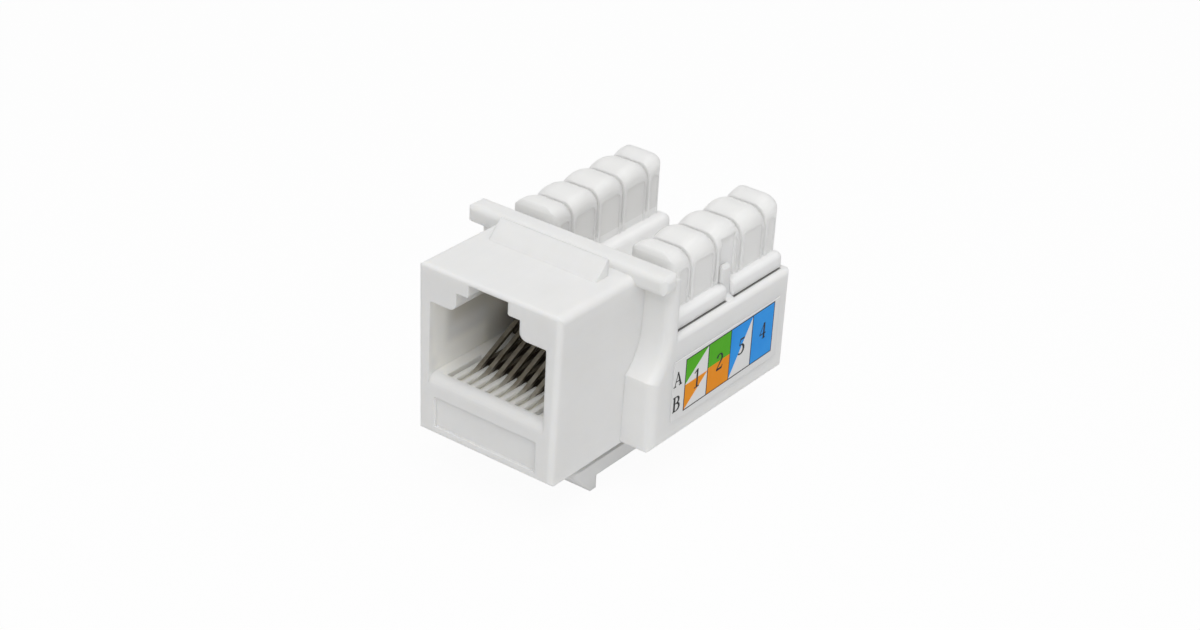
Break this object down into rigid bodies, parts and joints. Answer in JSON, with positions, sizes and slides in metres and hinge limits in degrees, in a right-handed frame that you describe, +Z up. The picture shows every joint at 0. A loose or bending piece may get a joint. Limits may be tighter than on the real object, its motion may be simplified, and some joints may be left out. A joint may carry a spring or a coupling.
{
  "type": "keystone network jack",
  "caption": "Right-angle modular network jack that snaps into a keystone opening, with spring contacts in a plug port and two rows of insulation displacement towers.",
  "frame": {"origin": "bottom centre of the front face, in the plane that the plug enters", "axes": "+X across the jack to the right as seen from the front, +Y from the front face to the rear of the tray, +Z up from the latch side to the towers"},
  "size_m": [0.0208, 0.0294, 0.0218],
  "materials": {
    "housing_plastic": "satin white moulding",
    "carrier_plastic": "dark moulding",
    "tower_plastic": "satin white moulding",
    "board_green": "solder mask",
    "contact_metal": "plated spring strip",
    "fork_metal": "tin plated strip",
    "label_film": "printed film"
  },
  "bodies": {
    "jack": {"jack_housing": "housing_plastic", "contact_carrier": "carrier_plastic", "circuit_board": "board_green", "tower_block": "tower_plastic", "wiring_label": "label_film", "contact_tail_1": "contact_metal", "contact_tail_2": "contact_metal", "contact_tail_3": "contact_metal", "contact_tail_4": "contact_metal", "contact_tail_5": "contact_metal", "contact_tail_6": "contact_metal", "contact_tail_7": "contact_metal", "contact_tail_8": "contact_metal", "fork_contact_1": "fork_metal", "fork_contact_2": "fork_metal", "fork_contact_3": "fork_metal", "fork_contact_4": "fork_metal", "fork_contact_5": "fork_metal", "fork_contact_6": "fork_metal", "fork_contact_7": "fork_metal", "fork_contact_8": "fork_metal"},
    "latch": {"latch_lever": "housing_plastic"},
    "spring_1": {"contact_spring_1": "contact_metal"},
    "spring_2": {"contact_spring_2": "contact_metal"},
    "spring_3": {"contact_spring_3": "contact_metal"},
    "spring_4": {"contact_spring_4": "contact_metal"},
    "spring_5": {"contact_spring_5": "contact_metal"},
    "spring_6": {"contact_spring_6": "contact_metal"},
    "spring_7": {"contact_spring_7": "contact_metal"},
    "spring_8": {"contact_spring_8": "contact_metal"}
  },
  "joints": [
    {"name": "latch_flex", "type": "hinge", "parent": "jack", "child": "latch", "pos_m": [0, 0.0152, -0.00263], "axis": [-1, 0, 0], "range_deg": [0, 10], "stiffness_Nm_per_rad": 0.3},
    {"name": "contact_flex_1", "type": "hinge", "parent": "jack", "child": "spring_1", "pos_m": [-0.00357, 0.0016, 0.00485], "axis": [-1, 0, 0], "range_deg": [0, 12], "stiffness_Nm_per_rad": 0.03},
    {"name": "contact_flex_2", "type": "hinge", "parent": "jack", "child": "spring_2", "pos_m": [-0.00255, 0.0016, 0.00485], "axis": [-1, 0, 0], "range_deg": [0, 12], "stiffness_Nm_per_rad": 0.03},
    {"name": "contact_flex_3", "type": "hinge", "parent": "jack", "child": "spring_3", "pos_m": [-0.00153, 0.0016, 0.00485], "axis": [-1, 0, 0], "range_deg": [0, 12], "stiffness_Nm_per_rad": 0.03},
    {"name": "contact_flex_4", "type": "hinge", "parent": "jack", "child": "spring_4", "pos_m": [-0.00051, 0.0016, 0.00485], "axis": [-1, 0, 0], "range_deg": [0, 12], "stiffness_Nm_per_rad": 0.03},
    {"name": "contact_flex_5", "type": "hinge", "parent": "jack", "child": "spring_5", "pos_m": [0.00051, 0.0016, 0.00485], "axis": [-1, 0, 0], "range_deg": [0, 12], "stiffness_Nm_per_rad": 0.03},
    {"name": "contact_flex_6", "type": "hinge", "parent": "jack", "child": "spring_6", "pos_m": [0.00153, 0.0016, 0.00485], "axis": [-1, 0, 0], "range_deg": [0, 12], "stiffness_Nm_per_rad": 0.03},
    {"name": "contact_flex_7", "type": "hinge", "parent": "jack", "child": "spring_7", "pos_m": [0.00255, 0.0016, 0.00485], "axis": [-1, 0, 0], "range_deg": [0, 12], "stiffness_Nm_per_rad": 0.03},
    {"name": "contact_flex_8", "type": "hinge", "parent": "jack", "child": "spring_8", "pos_m": [0.00357, 0.0016, 0.00485], "axis": [-1, 0, 0], "range_deg": [0, 12], "stiffness_Nm_per_rad": 0.03}
  ]
}
